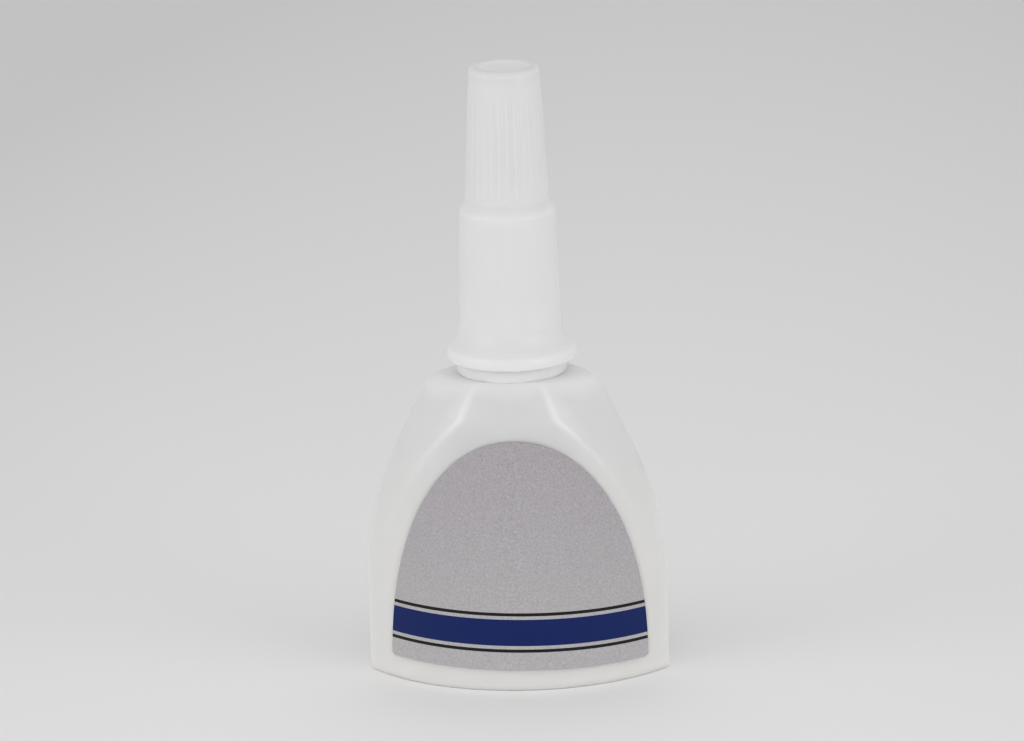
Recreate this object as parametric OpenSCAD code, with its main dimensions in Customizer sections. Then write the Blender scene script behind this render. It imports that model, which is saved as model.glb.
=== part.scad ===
// Squeeze bottle for instant glue: flat bottle, dropper nozzle, tall screw cap with its sealing pin, glue and labels.
// Millimetres. The origin is the middle of the base, +Z is up, and the front label faces -Y.

/* [Bottle] */
// Width of the bottle across its sides
bottle_w = 45; // [38:0.5:54]
// Depth of the bottle from its front panel to its back panel
bottle_d = 24; // [20:0.5:30]
// Height from the base to the underside of the neck ring
body_h = 46.5; // [42:0.5:60]
// Height at which the upright sides begin to curve in
side_h = 14; // [6:0.5:20]
// Radius of the curve that leads each side in towards the shoulder
shoulder_r = 49; // [25:1:80]
// Width of the shoulder where its crown begins
shoulder_w = 29.4; // [24:0.2:36]
// Height of the crown, which rounds the sides and leans the panels in to the neck ring
crown_h = 5; // [3:0.1:7]
// Radius of the slight bow across the collar, where a panel leans in to the neck ring
collar_r = 120; // [60:5:300]
// Thickness of a side edge at the base, where the front and back panels end
edge_t = 4.8; // [3:0.1:6.5]
// How far a side edge bulges past the ends of the panels at the base
edge_bulge = 1.6; // [0.8:0.1:2.2]
// Width of a panel where the crown begins
panel_top_w = 15; // [12:0.5:19]
// Width of the collar where it meets the neck ring
collar_w = 10.2; // [8:0.2:12]
// Fullness of a panel's arch, where 2 is a parabola and more is squarer
panel_power = 3.2; // [2:0.1:4]
// Fullness of the side walls between the panels, where 0 is a sharp edge
side_full = 0.3; // [0.15:0.05:0.6]
// Radius of the heel round the base
heel_r = 0.5; // [0.4:0.1:2.5]
// Thickness of the bottle's wall
wall = 1; // [0.7:0.05:1.6]
// Thickness of the floor
floor_t = 1.5; // [1.2:0.1:2.5]
// Width of the rim that the bottle stands on
rim_w = 1.8; // [1:0.1:3]
// Depth of the hollow under the base
hollow_h = 0.5; // [0.2:0.05:0.8]

/* [Neck] */
// Diameter of the ring at the foot of the neck
ring_d = 16.4; // [14.5:0.1:19]
// Height of the neck ring
ring_h = 1.9; // [1.2:0.1:3]
// Step from the neck ring's edge in to the top of the shoulder
ring_step = 0.4; // [0.1:0.1:0.8]
// Diameter of the neck between its thread ridges
neck_d = 11; // [10:0.1:13]
// Height of the neck above its ring
neck_h = 9.6; // [8:0.1:14]
// Diameter of the bore through the neck
bore_d = 8.6; // [7.4:0.1:9]

/* [Thread] */
// Rise of the thread in one turn
thread_pitch = 3; // [2.2:0.1:3.6]
// Height of the thread ridge above the neck
thread_h = 0.65; // [0.4:0.05:0.9]
// Plain length of neck below and above the thread
thread_margin = 1.5; // [1:0.1:2.2]
// Radial clearance between the neck's thread and the cap's
thread_clear = 0.2; // [0.15:0.05:0.35]
// Axial clearance on each side of a thread ridge
thread_play = 0.3; // [0.2:0.05:0.4]

/* [Nozzle] */
// Diameter of the spout at its foot
spout_d = 7.2; // [6:0.1:8]
// Diameter of the spout at its tip
tip_d = 3; // [2.6:0.1:3.6]
// Diameter of the outlet in the tip
outlet_d = 1.3; // [1.1:0.1:1.6]
// Length of the straight outlet below the tip
outlet_l = 4.2; // [3.5:0.1:6]
// Length of the plug in the neck's bore
plug_l = 7; // [4:0.5:8]
// Thickness of the plug's and spout's wall
nozzle_wall = 1.1; // [0.8:0.1:1.4]
// Thickness of the flange that sits on the lip of the neck
nozzle_flange_t = 1.2; // [0.8:0.1:2]
// Radial clearance of the plug in the bore
plug_clear = 0.02; // [0.01:0.01:0.05]

/* [Cap] */
// Height of the cap
cap_h = 44.3; // [42:0.1:56]
// Gap between the cap and the neck ring when the cap is screwed down
cap_gap = 0.15; // [0.1:0.05:0.4]
// Thickness of the cap's wall at the thread
cap_wall = 1.3; // [1:0.1:1.8]
// Thickness of the wall of the cap's upper part
cap_upper_wall = 1.1; // [0.8:0.1:1.6]
// Thickness of the cap's roof
roof_t = 1.5; // [1:0.1:2.4]
// Depth of the dish in the top of the cap
dish_h = 0.35; // [0.1:0.05:0.6]
// Radius of the cap's top edge
cap_edge_r = 0.6; // [0.4:0.1:1.2]
// Width of the flange past the sleeve
flange_w = 2; // [1:0.1:3]
// Height of the flange's upright edge
flange_h = 1.6; // [0.8:0.1:2.6]
// Height of the flare from the flange in to the sleeve
flare_h = 3; // [2:0.1:4.5]
// Height of the step from the sleeve to the upper part, above the cap's bottom
step_z = 22.7; // [20:0.1:25]
// Height of the sloping step
step_h = 1.5; // [1:0.1:3]
// Width of the sloping step
step_w = 0.9; // [0.5:0.1:1.2]
// Taper of the sleeve's side in degrees
sleeve_draft = 1.6; // [0:0.1:1.8]
// Taper of the upper part's side in degrees
upper_draft = 2.9; // [0:0.1:3.2]
// Number of grip ribs round the upper part
rib_count = 30; // [12:1:36]
// Radius of a grip rib
rib_r = 0.35; // [0.25:0.05:0.45]
// How far a rib stands out of the cap's side
rib_out = 0.1; // [0.05:0.05:0.2]
// Plain band above the ribs
rib_top_gap = 4.2; // [2:0.1:8]
// Plain band between the ribs and the step
rib_foot_gap = 0.8; // [0.5:0.1:3]

/* [Sealing pin] */
// Diameter of the pin's shank in the cap's boss
shank_d = 2; // [1.6:0.1:2.4]
// Clearance round the needle in the nozzle's outlet
needle_clear = 0.15; // [0.05:0.05:0.3]
// Length of outlet left free below the needle when the cap is on
needle_short = 1.2; // [0.5:0.1:2]
// Running clearance round the shank
shank_clear = 0.04; // [0.02:0.01:0.08]
// Thickness of the boss round the shank
boss_wall = 1.2; // [0.8:0.1:1.6]
// Length of the boss under the cap's roof
boss_l = 2.6; // [1.5:0.1:6]
// How far the shank goes into the roof
shank_seat = 0.5; // [0.2:0.1:0.8]
// Gap between the boss and the nozzle's tip
tip_gap = 0.6; // [0.4:0.1:1]

/* [Glue] */
// Height of the air space between the glue's surface and the crown
air_h = 10.5; // [4:0.1:25]
// Gap between the glue and the bottle's inside
glue_gap = 0.05; // [0.02:0.01:0.2]

/* [Labels] */
// Margin between the foot of a label and the panel's edges
label_margin = 1.7; // [1:0.1:8]
// Margin between the top of a label and the crown
label_top_gap = 2.9; // [1:0.1:12]
// Height of a label's lower edge above the base
label_z = 3.3; // [2:0.1:5]
// Fullness of a label's arch, where 2 is half an ellipse
label_power = 2.1; // [1.8:0.1:3]
// How far the front label sits to the right of the middle
label_shift = 0.4; // [-1:0.1:1]
// How far the front label is turned clockwise in degrees, as it was stuck on
label_turn = 1; // [-2:0.1:2]
// Thickness of a label
label_t = 0.12; // [0.08:0.01:0.3]
// Thickness of the adhesive under a label
glue_line = 0.02; // [0.01:0.01:0.05]

/* [Hidden] */
$fn = 96;

// Overlap that makes sure of a clean cut or join
eps = 0.3;
// Bevel on the edges of the neck, the nozzle and the cap's mouth
bevel = 0.4;

// Numbers of straight pieces in the bottle's outline and along its height
panel_steps = 6;
edge_steps = 5;
heel_steps = 3;
upright_steps = 2;
bend_steps = 6;
slope_steps = 4;
crown_steps = 5;
arch_steps = 24;

// Bottle: the panels are upright cylinders that pass through the side edges at the base
half_d = bottle_d / 2;
panel_half = bottle_w / 2 - edge_bulge;
panel_sag = half_d - edge_t / 2;
panel_r = (panel_half * panel_half + panel_sag * panel_sag) / (2 * panel_sag);
// Least half thickness and half width that the panels keep where they come together
panel_least = 0.15;
panel_least_w = 0.5;
root_r = ring_d / 2 - ring_step;

// Bottle: each side is upright, then an arc, then a straight slope to the crown
crown_z = body_h - crown_h;
drop_x = bottle_w / 2 - shoulder_w / 2;
drop_z = crown_z - side_h;
bend_r = min(shoulder_r, (drop_x * drop_x + drop_z * drop_z) / (2 * drop_x));
bend_to = [bend_r - drop_x, drop_z];
lean = atan2(bend_to.y, bend_to.x) - acos(min(1, bend_r / norm(bend_to)));
bend_z = side_h + bend_r * sin(lean);
bend_x = bottle_w / 2 - bend_r * (1 - cos(lean));

// Neck
ring_top = body_h + ring_h;
lip_z = ring_top + neck_h;
neck_r = neck_d / 2;
bore_r = bore_d / 2;

// Thread: the cap's ridge runs half way between the turns of the neck's ridge
ridge_w = thread_pitch / 2 - thread_play;
thread_rise = neck_h - 2 * thread_margin - ridge_w;
thread_z = ring_top + thread_margin + ridge_w / 2;
ridge_steps = 30;
// Share of a turn over which a ridge runs out at each end, and its height there as a share of the whole
run_out = 0.12;
run_out_h = 0.15;

// Nozzle
plug_r = bore_r - plug_clear;
spout_foot_z = lip_z + nozzle_flange_t;
// Width and height of the slope at the foot of the spout
spout_slope = 0.7;

// Cap
cap_z = ring_top + cap_gap;
cap_top = cap_z + cap_h;
thread_bore_r = neck_r + thread_h + thread_clear;
sleeve_r = thread_bore_r + cap_wall;
flange_r = sleeve_r + flange_w;
flare_z = cap_z + flange_h + flare_h;
step_foot_z = cap_z + step_z;
step_top_z = step_foot_z + step_h;
sleeve_top_r = sleeve_r - (step_foot_z - flare_z) * tan(sleeve_draft);
upper_r = sleeve_top_r - step_w;
top_r = upper_r - (cap_top - step_top_z) * tan(upper_draft);
// Clear height that the cap leaves above the nozzle's flange
head_clear = 1;
// The cap's cavity has a threaded bore, a tapered middle and an upper part that ends at the ceiling
bore_top_z = spout_foot_z + head_clear;
ceiling_z = cap_top - dish_h - roof_t;

// Sealing pin, hung from a boss under the roof, with the nozzle's tip just below the boss
boss_z = ceiling_z - boss_l;
boss_bore_r = shank_d / 2 + shank_clear;
tip_z = boss_z - tip_gap;
shank_top_z = ceiling_z + shank_seat;
shank_foot_z = tip_z + tip_gap / 2;
needle_r = outlet_d / 2 - needle_clear;
needle_foot_z = tip_z - outlet_l + needle_short;

// Glue and labels
fill_h = crown_z - air_h;
label_w = 2 * (panel_half - label_margin);
label_h = crown_z - label_top_gap - label_z;

// An arc of points from angle a to angle b
function arc_points(centre, r, a, b, steps) =
    [for (i = [0 : steps]) centre + r * [cos(a + (b - a) * i / steps), sin(a + (b - a) * i / steps)]];

// Half width of the bottle below the crown
function half_width(z) =
    z <= side_h ? bottle_w / 2
    : z <= bend_z ? bottle_w / 2 - bend_r + sqrt(bend_r * bend_r - pow(z - side_h, 2))
    : bend_x - (z - bend_z) * tan(lean);

// Half width of a panel, an arch up to the crown and straight from there to the neck ring
function panel_at(z) =
    z <= crown_z ? panel_half - (panel_half - panel_top_w / 2) * pow(z / crown_z, panel_power)
    : panel_top_w / 2 - (panel_top_w - collar_w) / 2 * (z - crown_z) / crown_h;

// Half the straight width of a panel of radius r that has fallen back by s
function chord(r, s) = sqrt(2 * r * s - s * s);

// Depth at x of an arc across the bottle, of radius r and half depth d
function bow(x, d, r) = d - r + sqrt(r * r - x * x);

// Depth of a panel at x: its own arc of radius r and half depth d, cut by the flatter collar of half depth c
function panel_y(x, d, r, c) = min(bow(x, d, r), bow(x, c, collar_r));

// A point of one quarter of the bottle's outline, k steps from the middle of the panel towards the side.
// w is the half width, h the panel's half width, and d, r and c are the panel's.
function quarter(k, w, h, d, r, c) =
    k <= panel_steps
    ? let (x = h * k / panel_steps) [x, panel_y(x, d, r, c)]
    : let (t = (k - panel_steps) / edge_steps, y = panel_y(h, d, r, c))
      pow(1 - t, 2) * [h, y] + 2 * t * (1 - t) * [w, side_full * y] + t * t * [w, 0];

// The whole outline at one height, with the panels cut by a collar of half depth c, and set in by o all round
function outline(w, h, c, o) =
    let (
        n = panel_steps + edge_steps,
        d = half_d - o,
        r = panel_r - o,
        hi = max(panel_least_w, min(h - o, chord(r, d - panel_least)))
    )
    [for (m = [0 : 4 * n - 1])
        let (side = floor(m / n), k = m % n, q = quarter(side % 2 == 0 ? k : n - k, w - o, hi, d, r, c - o))
        [side < 2 ? q.x : -q.x, side == 0 || side == 3 ? -q.y : q.y]];

// Rings [height, outline] of the bottle, set in by o, from the floor up to the given crown
function body_rings(o, floor_z, crown, root) =
    concat(
        [for (i = [0 : heel_steps]) let (a = 90 * i / heel_steps)
            [floor_z + heel_r * (1 - cos(a)),
             outline(bottle_w / 2, panel_half, half_d, o + heel_r * (1 - sin(a)))]],
        [for (z = levels(floor_z + heel_r, side_h, upright_steps)) side_ring(z, o)],
        [for (z = levels(side_h, bend_z, bend_steps)) side_ring(z, o)],
        [for (z = levels(bend_z, crown, slope_steps)) if (z > bend_z) side_ring(z, o)],
        [for (i = [1 : crown_steps])
            let (a = 90 * i / crown_steps, z = crown + crown_h * sin(a))
            [z, outline(root + (half_width(crown) - root) * cos(a), panel_at(z),
                        half_d + (root - half_d) * sin(a), o)]]);

// Heights from one level to the next, without the first
function levels(a, b, steps) = [for (i = [1 : steps]) a + (b - a) * i / steps];

function side_ring(z, o) = [z, outline(half_width(z), panel_at(z), half_d, o)];

// A closed solid through rings of equal numbers of points
module loft(rings) {
    n = len(rings[0][1]);
    last = len(rings) - 1;
    polyhedron(
        points = [for (ring = rings) for (p = ring[1]) [p.x, p.y, ring[0]]],
        faces = concat(
            [[for (m = [0 : n - 1]) m]],
            [[for (m = [n - 1 : -1 : 0]) last * n + m]],
            [for (i = [0 : last - 1]) for (m = [0 : n - 1])
                let (a = i * n + m, b = i * n + (m + 1) % n)
                [a, a + n, b + n]],
            [for (i = [0 : last - 1]) for (m = [0 : n - 1])
                let (a = i * n + m, b = i * n + (m + 1) % n)
                [a, b + n, b]]));
}

// A helical ridge from the root radius to the crest radius, which runs out at both ends
module thread_ridge(root, crest, z, rise) {
    turns = rise / thread_pitch;
    steps = ceil(turns * ridge_steps);
    rings = [for (i = [0 : steps])
        let (
            turn = turns * i / steps,
            height = min(1, run_out_h + min(turn, turns - turn) / run_out),
            r = root + (crest - root) * height,
            u = [cos(360 * turn), sin(360 * turn)],
            zc = z + thread_pitch * turn
        )
        [for (p = [[root, -ridge_w / 2], [r, -ridge_w / 4], [r, ridge_w / 4], [root, ridge_w / 2]])
            [u.x * p.x, u.y * p.x, zc + p.y]]];
    order = crest > root ? [3, 2, 1, 0] : [0, 1, 2, 3];
    polyhedron(
        points = [for (ring = rings) for (k = order) ring[k]],
        faces = concat(
            [[0, 1, 2], [0, 2, 3]],
            [for (f = [[0, 2, 1], [0, 3, 2]]) [for (k = f) steps * 4 + k]],
            [for (i = [0 : steps - 1]) for (m = [0 : 3])
                let (a = i * 4 + m, b = i * 4 + (m + 1) % 4)
                [a, a + 4, b + 4]],
            [for (i = [0 : steps - 1]) for (m = [0 : 3])
                let (a = i * 4 + m, b = i * 4 + (m + 1) % 4)
                [a, b + 4, b]]));
}

module bottle() {
    inner_crown = crown_z - wall;
    color([0.86, 0.86, 0.80])
    difference() {
        union() {
            loft(body_rings(0, 0, crown_z, root_r));
            rotate_extrude()
                polygon([
                    [0, body_h - eps],
                    [ring_d / 2 - ring_step / 2, body_h - eps],
                    [ring_d / 2 - ring_step / 2, body_h],
                    [ring_d / 2, body_h + ring_step / 2],
                    [ring_d / 2, ring_top - bevel],
                    [ring_d / 2 - bevel, ring_top],
                    [neck_r, ring_top],
                    [neck_r, lip_z - bevel],
                    [neck_r - bevel, lip_z],
                    [0, lip_z]]);
            thread_ridge(neck_r - eps, neck_r + thread_h, thread_z, thread_rise);
        }
        loft(body_rings(wall, floor_t, inner_crown, root_r));
        translate([0, 0, inner_crown])
            cylinder(d = bore_d, h = lip_z - inner_crown + eps);
        translate([0, 0, -eps])
            linear_extrude(hollow_h + eps)
                polygon(outline(bottle_w / 2, panel_half, half_d, heel_r + rim_w));
    }
}

module nozzle() {
    plug_foot_z = lip_z - plug_l;
    color([0.93, 0.93, 0.91])
    rotate_extrude()
        polygon([
            [plug_r - nozzle_wall, plug_foot_z],
            [plug_r - bevel, plug_foot_z],
            [plug_r, plug_foot_z + 2 * bevel],
            [plug_r, lip_z],
            [neck_r, lip_z],
            [neck_r, spout_foot_z - bevel / 2],
            [neck_r - bevel / 2, spout_foot_z],
            [spout_d / 2 + spout_slope, spout_foot_z],
            [spout_d / 2, spout_foot_z + spout_slope],
            [tip_d / 2, tip_z - bevel],
            [tip_d / 2 - bevel, tip_z],
            [outlet_d / 2, tip_z],
            [outlet_d / 2, tip_z - outlet_l],
            [spout_d / 2 - nozzle_wall, spout_foot_z + spout_slope],
            [plug_r - nozzle_wall, lip_z - nozzle_wall]]);
}

// Outside of the cap from its flange to its dished top
function cap_outside() =
    concat(
        [[flange_r - bevel, cap_z],
         [flange_r, cap_z + bevel],
         [flange_r, cap_z + flange_h],
         [sleeve_r + flange_w / 3, flare_z - flare_h / 2],
         [sleeve_r, flare_z],
         [sleeve_top_r, step_foot_z],
         [upper_r, step_top_z]],
        arc_points([top_r - cap_edge_r, cap_top - cap_edge_r], cap_edge_r, 0, 90, 4),
        [[top_r - 2 * cap_edge_r, cap_top - dish_h],
         [0, cap_top - dish_h]]);

module cap() {
    ceiling_r = top_r - cap_upper_wall;
    rib_foot_z = step_top_z + rib_foot_gap;
    rib_l = (cap_top - rib_top_gap - rib_foot_z) / cos(upper_draft);
    rib_axis_r = upper_r - rib_foot_gap * tan(upper_draft) - rib_r + rib_out;
    color([0.94, 0.94, 0.93])
    difference() {
        union() {
            rotate_extrude()
                polygon(concat(
                    [[thread_bore_r + bevel, cap_z]],
                    cap_outside(),
                    [[0, ceiling_z],
                     [ceiling_r, ceiling_z],
                     [upper_r - cap_upper_wall, step_top_z],
                     [sleeve_top_r - cap_upper_wall, step_foot_z],
                     [thread_bore_r, bore_top_z],
                     [thread_bore_r, cap_z + bevel]]));
            thread_ridge(thread_bore_r + eps, neck_r + thread_clear, thread_z + thread_pitch / 2,
                         thread_rise - thread_pitch / 2);
            translate([0, 0, boss_z])
                cylinder(r = boss_bore_r + boss_wall, h = ceiling_z - boss_z + eps);
            for (i = [0 : rib_count - 1])
                rotate([0, 0, 360 * i / rib_count])
                    translate([rib_axis_r, 0, rib_foot_z])
                        rotate([0, -upper_draft, 0])
                            cylinder(r = rib_r, h = rib_l, $fn = 24);
        }
        translate([0, 0, boss_z - eps])
            cylinder(r = boss_bore_r, h = shank_top_z + shank_clear - boss_z + eps);
    }
}

module cap_pin() {
    color([0.75, 0.76, 0.78])
    rotate_extrude()
        polygon([
            [0, needle_foot_z],
            [needle_r / 2, needle_foot_z],
            [needle_r, needle_foot_z + needle_r],
            [needle_r, shank_foot_z],
            [shank_d / 2, shank_foot_z],
            [shank_d / 2, shank_top_z],
            [0, shank_top_z]]);
}

module glue_fill() {
    o = wall + glue_gap;
    foot = floor_t + glue_gap;
    color([0.90, 0.89, 0.72])
    loft(concat(
        [for (ring = body_rings(o, foot, crown_z, root_r)) if (ring[0] < fill_h) ring],
        [side_ring(fill_h, o)]));
}

// A label with a straight foot and an arched top, bent round the front panel
module label(shift, turn) {
    shell_r = panel_r + glue_line;
    arch = [for (i = [0 : 2 * arch_steps])
        let (a = 90 * i / arch_steps, x = cos(a))
        [label_w / 2 * sign(x) * pow(abs(x), 2 / label_power),
         label_h * pow(sin(a), 2 / label_power)]];
    intersection() {
        translate([0, panel_r - half_d, 0])
            difference() {
                cylinder(r = shell_r + label_t, h = body_h);
                translate([0, 0, -eps])
                    cylinder(r = shell_r, h = body_h + 2 * eps);
            }
        rotate([90, 0, 0])
            linear_extrude(bottle_d)
                translate([shift, label_z])
                    rotate(-turn)
                        polygon(arch);
    }
}

module front_label() {
    color([0.68, 0.68, 0.70])
    label(label_shift, label_turn);
}

module back_label() {
    color([0.68, 0.68, 0.70])
    rotate([0, 0, 180])
        label(0, 0);
}

bottle();
nozzle();
cap();
cap_pin();
glue_fill();
front_label();
back_label();
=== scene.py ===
import math
import bpy
import numpy as np
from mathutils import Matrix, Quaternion, Vector


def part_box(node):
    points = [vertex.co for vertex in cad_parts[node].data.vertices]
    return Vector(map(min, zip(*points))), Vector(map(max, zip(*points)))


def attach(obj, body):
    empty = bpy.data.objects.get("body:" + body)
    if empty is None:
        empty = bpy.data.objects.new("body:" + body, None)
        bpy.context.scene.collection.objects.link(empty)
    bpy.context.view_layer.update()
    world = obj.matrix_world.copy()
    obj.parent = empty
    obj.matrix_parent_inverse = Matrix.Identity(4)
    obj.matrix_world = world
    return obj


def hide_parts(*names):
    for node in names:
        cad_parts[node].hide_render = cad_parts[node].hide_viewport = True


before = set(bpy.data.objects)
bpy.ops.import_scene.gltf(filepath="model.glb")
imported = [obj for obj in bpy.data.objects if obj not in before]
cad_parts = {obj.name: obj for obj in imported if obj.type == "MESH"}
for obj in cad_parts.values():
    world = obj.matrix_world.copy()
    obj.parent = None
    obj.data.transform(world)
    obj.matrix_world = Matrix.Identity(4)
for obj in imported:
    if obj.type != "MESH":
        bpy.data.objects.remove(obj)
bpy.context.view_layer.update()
mm = 0.001  # sizes below are millimetres, and Blender's are metres
print("frame loaded:", ", ".join(sorted(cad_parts)))


# Camera: a long lens a metre away, a little above and a little to the right of the front
shot = {
    "azimuth": 4.5,  # degrees to the right of straight on
    "elevation": 15.2,
    "roll": -1.6,
    "distance": 1000,
    "aimHeight": 46.3,
    "pixelsPerMm": 6.71,  # at the middle of the object
    "imageWidth": 1024,
}


def makeCamera():
    azimuth = math.radians(shot["azimuth"])
    elevation = math.radians(shot["elevation"])
    away = Vector((math.sin(azimuth) * math.cos(elevation), -math.cos(azimuth) * math.cos(elevation),
                   math.sin(elevation)))
    data = bpy.data.cameras.new("camera")
    # image scale on the sensor times distance is the focal length
    data.lens = shot["pixelsPerMm"] * shot["distance"] * data.sensor_width / shot["imageWidth"]
    camera = bpy.data.objects.new("camera", data)
    camera.location = (Vector((0, 0, shot["aimHeight"])) + away * shot["distance"]) * mm
    turn = (-away).to_track_quat("-Z", "Y") @ Quaternion((0, 0, 1), math.radians(shot["roll"]))
    camera.rotation_euler = turn.to_euler()
    bpy.context.collection.objects.link(camera)
    bpy.context.scene.camera = camera


makeCamera()
print("camera made")


# Mesh tools. The first makes a smooth mesh of points in millimetres, with edges past an angle kept sharp.

def meshPiece(name, points, faces, sharpAngle=32):
    mesh = bpy.data.meshes.new(name)
    mesh.from_pydata((points * mm).tolist(), [], faces)
    mesh.shade_smooth()
    mesh.set_sharp_from_angle(angle=math.radians(sharpAngle))
    piece = bpy.data.objects.new(name, mesh)
    bpy.context.collection.objects.link(piece)
    return piece


# Faces of a grid whose columns close on themselves. With poles, the first and last rows are closed by fans
# to these points. Without, the last row joins the first, as on a tube.
def skin(rows, poles=None):
    around = rows.shape[1]
    points = rows.reshape(-1, 3)
    index = np.arange(len(points)).reshape(-1, around)
    if poles is None:
        index = np.vstack([index, index[:1]])
    low, high = index[:-1], index[1:]
    faces = np.stack([low, np.roll(low, -1, 1), np.roll(high, -1, 1), high], -1).reshape(-1, 4).tolist()
    if poles is not None:
        first = np.full(around, len(points))
        last = first + 1
        faces += np.stack([first, np.roll(index[0], -1), index[0]], -1).tolist()
        faces += np.stack([index[-1], np.roll(index[-1], -1), last], -1).tolist()
        points = np.vstack([points, poles])
    return points, faces


# Profile through corners (radius, height, fillet, spacing). A corner is a quadratic curve from one fillet
# before it to one fillet after it, and the straight that follows is cut into lengths of about the spacing.
def roundedProfile(corners, loop=False, curveSteps=4):
    at = np.array([corner[:2] for corner in corners], float)
    fillet = np.array([corner[2] for corner in corners], float)[:, None]
    back = np.roll(at, 1, 0) - at
    ahead = np.roll(at, -1, 0) - at
    enter = at + back / np.linalg.norm(back, axis=1)[:, None] * fillet
    leave = at + ahead / np.linalg.norm(ahead, axis=1)[:, None] * fillet
    t = np.linspace(0, 1, curveSteps + 1)[:, None]
    path = []
    for i in range(len(at)):
        curve = (1 - t) ** 2 * enter[i] + 2 * t * (1 - t) * at[i] + t ** 2 * leave[i]
        path.append(curve if fillet[i] > 0 else at[i:i + 1])
        if loop or i + 1 < len(at):
            end = enter[(i + 1) % len(at)]
            pieces = max(1, math.ceil(np.linalg.norm(end - leave[i]) / corners[i][3]))
            path.append(leave[i] + np.linspace(0, 1, pieces + 1)[1:-1, None] * (end - leave[i]))
    return np.vstack(path)


# Rows of a turned surface: each profile point goes round the axis, with its radius changed by the relief
def turned(profile, angle, relief=None):
    radius = np.repeat(profile[:, :1], len(angle), 1)
    height = np.repeat(profile[:, 1:], len(angle), 1)
    if relief is not None:
        radius = radius + relief(radius, height, angle)
    return np.stack([radius * np.cos(angle), radius * np.sin(angle), height], -1)


def evenAngles(around):
    return np.arange(around) / around * 2 * np.pi


sameRadius = 0.01  # points of a profile this close to a radius take its relief


# Puts a piece in the place of a CAD node, and reports how far its box is from the node's box
def replaceNode(piece, node, body):
    corners = np.array([corner[:] for corner in piece.bound_box])
    box = np.array(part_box(node))
    gap = np.abs(np.array([corners.min(0), corners.max(0)]) - box).max() / mm
    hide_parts(node)
    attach(piece, body)
    print(f"{piece.name}: {len(piece.data.polygons)} faces, box within {gap:.2f} mm of {node}")


# Bottle: two arched panels, each an upright cylinder, between softly rounded side walls
bottle = {
    "width": 45,
    "depth": 24,
    "bodyHeight": 46.5,
    "sideHeight": 14,  # the sides are upright up to here
    "shoulderRadius": 49,
    "shoulderWidth": 29.4,  # where the crown begins
    "crownHeight": 5,
    "collarRadius": 120,  # bow of the collar that leans in to the neck ring
    "edgeThickness": 4.8,
    "edgeBulge": 1.6,
    "panelTopWidth": 15,  # where the crown begins
    "collarWidth": 10.2,  # at the neck ring
    "panelPower": 3.2,
    "sideFullness": 0.3,
    "ridgeRound": 0.6,
    "ridgeReach": 0.45,  # the round takes at most this share of the side
    "creaseRound": 0.8,
    "heelRadius": 0.3,
    "wall": 1,
    "floor": 1.5,
    "rimWidth": 1.8,
    "hollow": 0.5,
    "hollowSlope": 0.2,  # half the width of its sloping edge
    "hollowBend": 0.3,  # share of the hollow's depth where that edge bends
    "panelSteps": 30,  # columns of a quarter ring
    "ridgeSteps": 6,
    "sideSteps": 18,
    "rowStep": 0.8,  # rows up the side
    "innerRowStep": 1.5,
    "crownLead": 0.7,  # the crown's rows begin this far below it
    "crownRows": 26,
    "innerCrownDrop": 0.8,  # inside, they begin this far below the top
    "innerCrownRows": 18,
    "crownCurl": 0.6,  # in this last stretch below the neck ring the rows crowd together,
    "curlShare": 0.8,  # at the squares of even shares from this one to 0
    "curlRows": 8,
    "innerCurlRows": 5,
}
halfDepth = bottle["depth"] / 2
panelHalf = bottle["width"] / 2 - bottle["edgeBulge"]
panelSag = halfDepth - bottle["edgeThickness"] / 2
panelRadius = (panelHalf ** 2 + panelSag ** 2) / (2 * panelSag)
crownZ = bottle["bodyHeight"] - bottle["crownHeight"]

neck = {
    "ringDiameter": 16.4,
    "ringHeight": 1.9,
    "ringStep": 0.4,
    "diameter": 11,
    "height": 9.6,
    "bore": 8.6,
    "edge": 0.4,
}
rootRadius = neck["ringDiameter"] / 2 - neck["ringStep"]
ringTop = bottle["bodyHeight"] + neck["ringHeight"]
lipZ = ringTop + neck["height"]
neckRadius = neck["diameter"] / 2

thread = {
    "pitch": 3,
    "height": 0.65,
    "margin": 1.5,
    "clear": 0.2,
    "play": 0.3,
    "footHalf": 0.42,  # half the foot of a ridge, as a share of its width
    "flank": 0.17,  # and its sloping side
    "runOut": 0.15,  # share of a turn
}
ridgeWidth = thread["pitch"] / 2 - thread["play"]
threadRise = neck["height"] - 2 * thread["margin"] - ridgeWidth
threadZ = ringTop + thread["margin"] + ridgeWidth / 2

glue = {"airHeight": 10.5, "gap": 0.05, "meniscus": 0.3, "rowStep": 0.9}
fillZ = crownZ - glue["airHeight"]


# Half width at each height: upright, then an arc, then a straight lean, then a crown whose lean fades as
# the root of a fourth power draws it in to the neck
def halfWidth(z):
    half, shoulder = bottle["width"] / 2, bottle["shoulderWidth"] / 2
    drop, rise = half - shoulder, crownZ - bottle["sideHeight"]
    bend = min(bottle["shoulderRadius"], (drop ** 2 + rise ** 2) / (2 * drop))
    lean = math.atan2(rise, bend - drop) - math.acos(min(1, bend / math.hypot(bend - drop, rise)))
    bendZ = bottle["sideHeight"] + bend * math.sin(lean)
    along = np.clip(z, bottle["sideHeight"], bendZ) - bottle["sideHeight"]
    arc = half - bend + np.sqrt(bend ** 2 - along ** 2)
    slope = half - bend * (1 - math.cos(lean)) - (z - bendZ) * math.tan(lean)
    s = np.clip((z - crownZ) / bottle["crownHeight"], 0, 1)
    line = shoulder - bottle["crownHeight"] * math.tan(lean) * (s - s ** 2 / 2)
    crown = rootRadius + (line - rootRadius) * np.sqrt(1 - s ** 4)
    return np.where(z <= bendZ, arc, np.where(z <= crownZ, slope, crown))


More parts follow.
